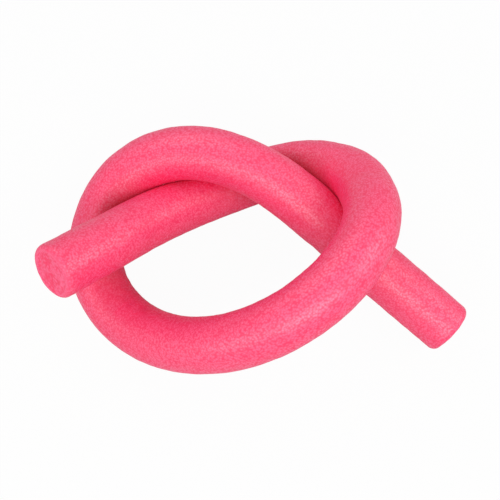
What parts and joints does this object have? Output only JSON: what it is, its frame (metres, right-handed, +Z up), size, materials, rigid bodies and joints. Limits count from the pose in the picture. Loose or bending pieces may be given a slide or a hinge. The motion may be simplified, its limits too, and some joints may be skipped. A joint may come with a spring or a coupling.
{
  "type": "pool noodle",
  "caption": "Solid foam pool noodle tied in a loose overhand knot, lying on a flat surface with one cut end in the air.",
  "frame": {"origin": "on the surface that the noodle lies on, under the middle of its outline seen from above", "axes": "+X along the knot's longest extent, from the end in the air to the end on the surface; +Z up from the surface; +Y away from the viewer"},
  "size_m": [0.497, 0.2996, 0.2051],
  "materials": {
    "foam": "red-pink closed-cell polyethylene foam, satin extruded skin with a fine cell grain, coarser open cells on the cut ends"
  },
  "bodies": {
    "root": {"foam_noodle": "foam"}
  },
  "joints": []
}
